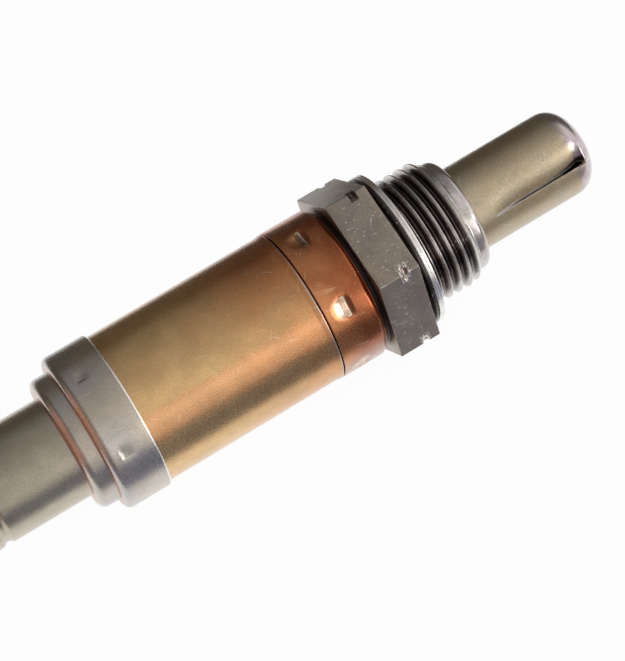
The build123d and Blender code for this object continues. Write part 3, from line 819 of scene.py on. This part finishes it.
# Sleeves.
sleeve_wall = 0.5
sleeve_edge = 0.85
copper_from_x = -33.0
seam_gap = 0.15
tongue_radius = 10.0
main_sleeve_radius = front_sleeve_radius - 0.15
mouth_length = 0.8
stake_count = 6
stake_x = -12.4
stake_length = 0.85
stake_width = 2.7
stake_depth = 0.38
stake_draw = 1.5
stake_front = 0.85
stake_bow = 0.25
stake_first_angle = 1.5

# Tail cap.
cap_wall = 0.4
cap_rim_edge = 0.22
cap_shoulder_x = cap_rim_x - 6.5
cap_shoulder_edge = 1.0
cap_step_radius = cap_radius - 1.7
cap_step_x = cap_shoulder_x - 2.75
cap_step_edge = 1.1
tail_radius = cap_step_radius - 2.25
crimp_x = cap_rear_x + 3.2
crimp_width = 1.8
crimp_depth = 0.45
dimple_count = 6
dimple_x = cap_shoulder_x + 2.95
dimple_length = 1.25
dimple_width = 1.55
dimple_depth = 0.14
dimple_dish = 0.05
dimple_rear_slope = 0.45
dimple_near_slope = 0.35
dimple_first_angle = 8.0


# ---- the housing: milled hexagon, neck, thread and pilot ----
def hexagon_radius(x, angle):
    """Distance to the hexagon's skin, for an angle from the middle of a flat, with its edges eased."""
    end = min(hex_front_x - x, x - hex_rear_x)
    eased = hex_edge - math.sqrt(max(0, hex_edge ** 2 - max(0, hex_edge - end) ** 2))
    flat = hex_half_flats - eased
    corner = (flat - hex_corner_edge) / math.cos(math.radians(30))
    from_corner = math.radians(30 - abs(angle))
    turning = math.degrees(math.atan((flat - hex_corner_edge) * math.tan(math.radians(30)) / flat))
    if abs(angle) < turning:
        return flat / math.cos(math.radians(angle))
    offset = corner * math.sin(from_corner)
    return corner * math.cos(from_corner) + math.sqrt(max(0, hex_corner_edge ** 2 - offset ** 2))


def make_housing(finish, thread_material):
    outside = hex_half_flats + 2
    eases = [hex_edge * share for share in (0.0, 0.1, 0.3, 0.6, 1.0)]
    rows = ([hex_front_x - ease for ease in eases] + [hex_rear_x + ease for ease in eases]
            + [groove_front_x + 0.02, groove_rear_x - 0.02]
            + [hex_front_x - 0.7, hex_rear_x + 1.2, hex_rear_x + 2.2])
    outline = with_rows(rounded([
        (nose_x, housing_bore_radius, 0.15), (nose_x, relief_radius, pilot_edge),
        (thread_end_x, relief_radius, 0), (hex_front_x, relief_radius, 0.15),
        (hex_front_x, outside, 0), (groove_front_x, outside, 0), (groove_front_x, groove_mouth, 0),
        (groove_front_x - groove_slope, groove_radius, 0), (groove_rear_x + groove_slope, groove_radius, 0),
        (groove_rear_x, groove_mouth, 0), (groove_rear_x, outside, 0), (hex_rear_x, outside, 0),
        (hex_rear_x, neck_radius, 0.15), (neck_rear_x, neck_radius, 0.15),
        (neck_rear_x, spigot_radius, 0.1), (spigot_rear_x, spigot_radius, 0.2),
        (spigot_rear_x, stack_bore_radius, 0), (stack_seat_x, stack_bore_radius, 0),
        (stack_seat_x, housing_bore_radius, 0),
    ]), rows)
    notch = math.degrees(math.acos(hex_half_flats / groove_radius))
    half = graded((0, 3.0), (notch - 1, 0.5), (notch, 0.8), (29.0, 0.1), (30, 0))
    angles = [-angle for angle in reversed(half[1:])] + half

    def radius_at(x, radius, angle):
        return min(radius, hexagon_radius(x, angle)) if radius > groove_radius - 0.01 else radius

    body = swept("housing", outline, angles, radius_at)
    round_the_axis(body, 6, 30.0, finish, 24.0)

    thread = placed("thread", new_mesh("thread", [], []))
    made_real(thread, thread_tree, thread_sockets, {
        "Start": thread_start_x, "End": thread_end_x, "Crest Radius": thread_crest_radius,
        "Root Radius": thread_root_radius, "Pitch": thread_pitch, "Crest Place": thread_crest_place,
        "Core Radius": thread_core_radius, "Start Slope": thread_run_in, "Chamfer Start": thread_chamfer_x,
        "Rows": thread_rows, "Columns": thread_columns, "Finish": thread_material,
    })
    dressed(thread, 60.0)
    return body, thread


# ---- the folded sealing ring ----
def make_gasket(finish):
    fold_rear_x = ring_rear_x + ring_edge_gap
    bead_rear_x = ring_front_x - ring_bead
    bead_middle_x = (bead_rear_x + ring_front_x) / 2
    outline = rounded([
        (ring_rear_x, ring_bore_radius, 0), (ring_rear_x, ring_foot_radius, 0.08),
        (fold_rear_x, ring_foot_radius, 0.08), (fold_rear_x, ring_radius - 0.05, 0.28),
        (bead_rear_x, ring_radius - 0.05, 0.28), (bead_rear_x, ring_radius - 0.5, 0),
        (bead_rear_x + 0.04, ring_radius - 0.5, 0), (bead_rear_x + 0.04, ring_radius, 0.06),
        (bead_middle_x - 0.05, ring_radius, 0.02), (bead_middle_x, ring_radius - 0.06, 0.02),
        (bead_middle_x + 0.05, ring_radius, 0.02), (ring_front_x, ring_radius, 0.10),
        (ring_front_x, ring_bore_radius, 0),
    ])
    ring = swept("sealing_ring", outline, graded((0, 2.0), (60, 0)))
    return round_the_axis(ring, 6, 0.0, finish, 40.0)


# ---- the two sleeves ----
def make_front_sleeve(finish):
    inner = front_sleeve_radius - sleeve_wall
    gap_x = seam_x + seam_gap
    rows = graded((stake_x - 2.2, 0.1), (stake_x - 0.5, 0.05), (stake_x + 1.3, 0))
    outline = with_rows(rounded([
        (front_sleeve_x, inner, 0.04), (front_sleeve_x, front_sleeve_radius, sleeve_edge),
        (gap_x, front_sleeve_radius, 0.10), (gap_x, tongue_radius, 0.05),
        (front_sleeve_rear_x, tongue_radius, 0.1), (front_sleeve_rear_x, tongue_radius - sleeve_wall, 0.1),
        (gap_x + 0.4, tongue_radius - sleeve_wall, 0.1), (gap_x + 0.7, inner, 0.1),
    ]), rows, above=inner + 0.1)
    angles = graded((-30, 1.5), (-18, 0.6), (-10, 0.3), (10, 0.6), (18, 1.5), (30, 0))

    def radius_at(x, radius, angle):
        if radius < front_sleeve_radius - 0.02:
            return radius
        across = math.radians(angle) * front_sleeve_radius
        lengthways = x - stake_x
        # The punch draws the metal down behind it and leaves a short steep slope in front of it.
        bow = stake_bow * min(1, (2 * across / stake_width) ** 2)
        behind, front = bow - stake_length / 2, stake_length / 2
        if lengthways < behind:
            drawn = stake_depth * (1 - min(1, (behind - lengthways) / stake_draw)) ** 1.2
        elif lengthways < front:
            drawn = stake_depth
        else:
            drawn = stake_depth * smoothstep(lengthways, front + stake_front, front)
        half = stake_width / 2 * (1 - 0.25 * min(1, max(0, behind - lengthways) / stake_draw))
        return radius - drawn * math.exp(-abs(across / half) ** 3)

    sleeve = swept("front_sleeve_staked", outline, angles, radius_at)
    return round_the_axis(sleeve, stake_count, stake_first_angle, finish, 30.0)


def make_main_sleeve(finish):
    mouth = front_sleeve_radius
    inner = main_sleeve_radius - sleeve_wall
    outline = with_rows(rounded([
        (seam_x, mouth - sleeve_wall, 0.03), (seam_x, mouth, 0.16),
        (seam_x - mouth_length, main_sleeve_radius, 1.2), (main_sleeve_rear_x, main_sleeve_radius, 0.1),
        (main_sleeve_rear_x, inner, 0.1), (seam_x - mouth_length, inner, 1.0),
    ]), graded((main_sleeve_rear_x + 2, 2.0), (seam_x - 1.5, 0)))
    sleeve = swept("main_sleeve_shell", outline, graded((0, 1.5), (60, 0)))
    return round_the_axis(sleeve, 6, 0.0, finish, 35.0)


# ---- the tail cap ----
def struck_aslant(lengthways, across, half_length, half_width):
    """A punch mark, steep behind and on one side and running out towards the rim and the other side."""
    rear = min(1, max(0, (lengthways + half_length + dimple_rear_slope) / dimple_rear_slope))
    run_out = 1 - smoothstep(lengthways, -half_length + 0.1, half_length + 0.4)
    near = min(1, max(0, (half_width + dimple_near_slope - across) / dimple_near_slope))
    far = smoothstep(across, -half_width - 0.3, half_width - 0.3)
    return rear * run_out * near * far


def make_tail_cap(finish):
    inside = cap_radius - cap_wall
    step_inside = cap_step_radius - cap_wall
    tail_inside = tail_radius - cap_wall
    dimpled = graded((dimple_x - 2.4, 0.3), (dimple_x - 1.15, 0.07), (dimple_x + 0.3, 0.25),
                     (dimple_x + 2.4, 0))
    grooved = graded((crimp_x - crimp_width / 2, 0.12), (crimp_x + crimp_width / 2, 0))
    outline = with_rows(rounded([
        (cap_rim_x, inside, 0.06), (cap_rim_x, cap_radius, cap_rim_edge),
        (cap_shoulder_x, cap_radius, cap_shoulder_edge), (cap_shoulder_x, cap_step_radius, 0.07),
        (cap_step_x, cap_step_radius, cap_step_edge), (cap_step_x, tail_radius, 0.07),
        (cap_rear_x, tail_radius, 0.12), (cap_rear_x, tail_inside, 0.08),
        (cap_step_x + cap_wall, tail_inside, 0.3),
        (cap_step_x + cap_wall, step_inside, cap_step_edge - cap_wall),
        (cap_shoulder_x + cap_wall, step_inside, 0.3),
        (cap_shoulder_x + cap_wall, inside, cap_shoulder_edge - cap_wall),
    ]), dimpled, above=inside + 0.1)
    outline = with_rows(outline, grooved, above=tail_inside + 0.1)
    angles = graded((-30, 1.5), (-18, 0.8), (-5.6, 0.2), (-2, 0.5), (2, 0.2), (5.6, 0.8), (18, 1.5),
                    (30, 0))

    def radius_at(x, radius, angle):
        if abs(x - crimp_x) < crimp_width / 2 and radius < tail_radius + 0.01:
            return radius - crimp_depth * math.cos(math.pi * (x - crimp_x) / crimp_width) ** 2
        if radius < cap_radius - 0.02:
            return radius
        across = math.radians(angle) * cap_radius
        lengthways = x - dimple_x
        dish = dimple_dish * math.exp(-(lengthways / 1.2) ** 2 - (across / 1.4) ** 2)
        struck = struck_aslant(lengthways, across, dimple_length / 2, dimple_width / 2)
        return radius - dish - dimple_depth * struck

    cap = swept("tail_cap_drawn", outline, angles, radius_at)
    return round_the_axis(cap, dimple_count, dimple_first_angle, finish, 35.0)


# ---- the slotted guard ----
def guard_profile():
    """Outer skin of the guard from its rear end to the middle of the dome."""
    rows = graded((guard_rear_x, 1.0), (slot_start_x - 0.6, 0.1), (slot_start_x + 1.5, 0.3),
                  (guard_corner_x, 0))
    profile = [(x, guard_radius) for x in rows]
    turning = math.acos(guard_corner_height / (guard_crown_radius - guard_corner_radius))
    for step in range(1, 29):
        spoke = math.pi / 2 - turning * step / 28
        profile.append((guard_corner_x + guard_corner_radius * math.cos(spoke),
                        guard_corner_height + guard_corner_radius * math.sin(spoke)))
    for step in range(1, 19):
        spoke = (math.pi / 2 - turning) * (1 - step / 18)
        profile.append((guard_crown_x + guard_crown_radius * math.cos(spoke),
                        guard_crown_radius * math.sin(spoke)))
    return profile


def make_guard(finish):
    sector = 360 / slot_count
    angles = graded((0, 0.5), (3, 2.0), (sector - flap_width, 1.2), (sector - 5, 0.35), (sector, 0))

    def radius_at(x, radius, angle):
        share = (x - slot_start_x) / (slot_end_x - 0.7 - slot_start_x)
        if share <= 0 or x >= slot_end_x:
            return radius
        width = min(1, max(0, (angle - sector + flap_width) / flap_width))
        closing = min(1, (slot_end_x - x) / flap_end)
        closing *= 2 - closing
        share = min(1, share)
        # The lip sinks by its own depth at once; the flap bends away from it only near the dome.
        lip = lip_depth * (1 - (1 - min(1, share / 0.4)) ** 2)
        bent = (flap_depth - lip_depth) * share ** 6
        return radius - (lip + bent) * width ** 1.8 * closing

    guard = swept("guard_lanced", guard_profile(), angles, radius_at, closed=False)
    round_the_axis(guard, slot_count, slot_angle, finish, 50.0)
    wall = guard.modifiers.new("wall", "SOLIDIFY")
    wall.thickness = guard_wall * MM
    wall.offset = -1.0
    wall.use_even_offset = True
    applied(guard)
    return dressed(guard, 45.0)


# ---- putting the pieces on ----
def stands_for(piece, node):
    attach(piece, "root")
    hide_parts(node)


housing, thread = make_housing(housing_finish(), thread_finish())
stands_for(housing, "hex_housing")
stands_for(thread, "hex_housing")
stands_for(make_gasket(gasket_finish()), "gasket_ring")
stands_for(make_front_sleeve(front_sleeve_finish()), "front_sleeve")
stands_for(make_main_sleeve(main_sleeve_finish()), "main_sleeve")
stands_for(make_tail_cap(cap_finish()), "tail_cap")
stands_for(make_guard(guard_finish()), "protection_tube")

contact_alloy = contact_finish()
white_ceramic = ceramic_finish("holder_alumina", tone(226, 222, 212), 0.45, 0.05)
inner_finishes = {
    "grommet": rubber_finish(),
    "sensor_thimble": ceramic_finish("thimble_coated_ceramic", tone(148, 138, 124), 0.6, 0.15),
    "seal_washer": contact_alloy,
    "talc_pack": ceramic_finish("pressed_talc", tone(188, 184, 172), 0.8, 0.2, 6.0),
    "insulating_bush": white_ceramic,
    "crimp_ring": contact_alloy,
    "heater_rod": ceramic_finish("heater_alumina", tone(206, 204, 200), 0.4, 0.06),
    "ceramic_holder": white_ceramic,
    "disc_spring": contact_alloy,
}
for node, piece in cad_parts.items():
    material = inner_finishes.get(node)
    if material is None and ("contact" in node or "crimp" in node):
        material = contact_alloy
    if material is not None:
        piece.data.materials.clear()
        piece.data.materials.append(material)


# ---- floor, studio tent, cards and lamps ----
def stage_piece(name, mesh, material, glossy_only):
    piece = placed(name, mesh)
    mesh.materials.append(material)
    if glossy_only:
        piece.visible_camera = False
        piece.visible_diffuse = False
        piece.visible_shadow = False
        piece.visible_transmission = False


def sheet_mesh(name, *edges):
    """A sheet between two or more pairs of points, each pair one crosswise edge."""
    points = [tuple(c * MM for c in point) for edge in edges for point in edge]
    faces = [(2 * i, 2 * i + 2, 2 * i + 3, 2 * i + 1) for i in range(len(edges) - 1)]
    return new_mesh(name, points, faces)


floor_half = 4000.0
tent_radius = 700
tent_top = (0.0, -0.68, 0.73)
tent_window = (0.632, -0.646, 0.429)


def bare_material(name):
    material = bpy.data.materials.new(name)
    material.use_nodes = True
    nodes = Tree(material.node_tree)
    nodes.tree.nodes.clear()
    return material, nodes


def floor_finish():
    """White paper: shows white to the eye and in the metal, and still takes the object's shadow."""
    material, nodes = bare_material("white_paper_floor")
    seen = nodes.add("ShaderNodeLightPath").outputs
    shown = nodes.most(seen["Is Camera Ray"], seen["Is Glossy Ray"], seen["Is Transmission Ray"])
    paper = nodes.add("ShaderNodeBsdfDiffuse", {"Color": (0.8, 0.8, 0.8, 1.0)})
    glow = nodes.add("ShaderNodeEmission", {"Color": (1.0, 1.0, 1.0, 1.0), "Strength": 1.0})
    share = nodes.times(shown, 0.96)
    blend = nodes.add("ShaderNodeMixShader", {0: share, 1: paper, 2: glow})
    nodes.seen_as(blend)
    return material


def tent_finish():
    """Studio tent that only reflections see: brighter high on the -Y side and at the +X end, and a window."""
    material, nodes = bare_material("studio_tent")
    place = nodes.add("ShaderNodeTexCoord").outputs["Object"]
    direction = nodes.add("ShaderNodeVectorMath", {0: place}, operation="NORMALIZE")

    def towards(aim):
        return nodes.add("ShaderNodeVectorMath", {0: direction, 1: aim}, operation="DOT_PRODUCT").outputs[1]

    high = towards(tent_top)
    lengthways = nodes.add("ShaderNodeSeparateXYZ", {0: direction}).outputs["X"]
    light = nodes.ramp(high, -0.85, 0.62, 0.08, 0.52, "LINEAR")
    light = nodes.plus(light, nodes.ramp(high, 0.62, 0.98, 0.0, 0.27))
    light = nodes.plus(light, nodes.ramp(lengthways, 0.50, 0.85, 0.0, 0.6))
    light = nodes.plus(light, nodes.ramp(towards(tent_window), 0.93, 0.99, 0.0, 3.2))
    light = nodes.times(light, nodes.ramp(lengthways, -0.45, 0.0, 0.4, 1.0))
    nodes.seen_as(nodes.add("ShaderNodeEmission", {"Color": (1.0, 0.98, 0.96, 1.0), "Strength": light}))
    return material


def card_finish(name, colour):
    material, nodes = bare_material(name)
    nodes.seen_as(nodes.add("ShaderNodeEmission", {"Color": (*colour, 1.0), "Strength": 1.0}))
    return material


stage_piece("floor", sheet_mesh(
    "floor",
    ((-floor_half, -floor_half, floor_height), (-floor_half, floor_half, floor_height)),
    ((floor_half, -floor_half, floor_height), (floor_half, floor_half, floor_height)),
), floor_finish(), False)

tent_shape = bmesh.new()
bmesh.ops.create_uvsphere(tent_shape, u_segments=48, v_segments=24, radius=tent_radius * MM)
below = [v for v in tent_shape.verts if v.co.z < floor_height * MM]
bmesh.ops.delete(tent_shape, geom=below, context="VERTS")
tent_mesh = bpy.data.meshes.new("tent")
tent_shape.to_mesh(tent_mesh)
tent_shape.free()
stage_piece("tent", tent_mesh, tent_finish(), True)

# Cards that the metal mirrors, each a sheet between its edges. The far card comes closer beside the
# guard, as the guard is thinner and mirrors less far; the near cards stand in front, on the -Y side.
far_line = ((-140, 26), (-12, 25), (-5, 30), (3, 23), (22, 16), (140, 16))
near_low, near_high = -9.5, 16
cards = {
    "far_card": ([((x, y, floor_height), (x, y + 10, 14)) for x, y in far_line], (0.11, 0.095, 0.08)),
    "near_card": ([((x, -36, near_low), (x, -38, near_high)) for x in (-140, 18)], (0.20, 0.21, 0.27)),
    "guard_near_card": ([((x, -36, near_low), (x, -38, near_high)) for x in (18, 140)],
                        (0.34, 0.32, 0.30)),
    "guard_card": ([((x, -20, 10), (x, -20, 23)) for x in (21, 36)], (0.66, 0.63, 0.58)),
    "over_card": ([((x, -22, 100), (x, 36, 100)) for x in (28, 90)], (0.92, 0.90, 0.86)),
    "tail_card": ([((-105, y, floor_height), (-118, y, 95)) for y in (-70, 70)], (0.55, 0.30, 0.24)),
}
for name, (edges, colour) in cards.items():
    stage_piece(name, sheet_mesh(name, *edges), card_finish(name, colour), True)


def lamp(name, place, width, length, strength):
    """A flat lamp aimed at the sealing face."""
    data = bpy.data.lights.new(name, "AREA")
    data.shape = "RECTANGLE"
    data.size = width * MM
    data.size_y = length * MM
    data.energy = strength
    light = placed(name, data)
    turn = (-Vector(place)).to_track_quat("-Z", "Y").to_matrix().to_4x4()
    light.matrix_world = Matrix.Translation(Vector(place) * MM) @ turn
    light.visible_camera = False
    return light


lamp("strip_lamp", (160, -400, 400), 420, 90, 0.09)
lamp("top_lamp", (-100, 60, 600), 500, 500, 0.4).visible_glossy = False

world = bpy.data.worlds.new("studio_air")
bpy.context.scene.world = world
world.use_nodes = True
air = world.node_tree.nodes["Background"]
air.inputs["Color"].default_value = (1.0, 1.0, 1.0, 1.0)
air.inputs["Strength"].default_value = 0.75
